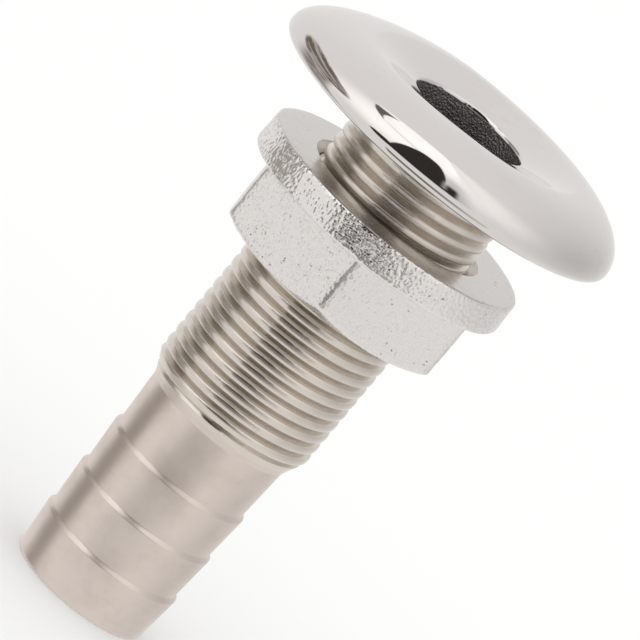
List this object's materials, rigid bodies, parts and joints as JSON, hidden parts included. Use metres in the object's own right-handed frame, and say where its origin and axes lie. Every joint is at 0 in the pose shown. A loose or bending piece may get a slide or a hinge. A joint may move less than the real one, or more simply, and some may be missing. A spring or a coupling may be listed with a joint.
{
  "type": "thru hull fitting",
  "caption": "Mushroom-head through-hull fitting: domed flange, threaded shank with a flanged hex backing nut, barbed hose tail and one straight water bore.",
  "frame": {"origin": "centre of the flat seat under the head, on the bore axis, where the outside skin of the hull lies", "axes": "+Z along the bore, outboard through the head; -Y towards one corner of the nut's hexagon at rest; +X completes the right-handed frame"},
  "size_m": [0.0494, 0.0494, 0.0784],
  "materials": {
    "polished_stainless": "mirror-polished head, turned shank and tail, rough-cast bore",
    "cast_stainless": "bead-blasted casting"
  },
  "bodies": {
    "fitting": {"thru_hull_body": "polished_stainless"},
    "nut_carrier": {"nut_flange": "cast_stainless"},
    "nut": {"nut_hex": "cast_stainless"}
  },
  "joints": [
    {"name": "nut_travel", "type": "slide", "parent": "fitting", "child": "nut_carrier", "axis": [0, 0, 1], "range_m": [-0.026, 0.00906]},
    {"name": "nut_turn", "type": "hinge", "parent": "nut_carrier", "child": "nut", "pos_m": [0, 0, -0.0178], "axis": [0, 0, 1], "range_deg": [-5150, 1795]}
  ],
  "couplings": [
    {"joint": "nut_travel", "follows": "nut_turn", "m_per_rad": 0.00028875}
  ]
}
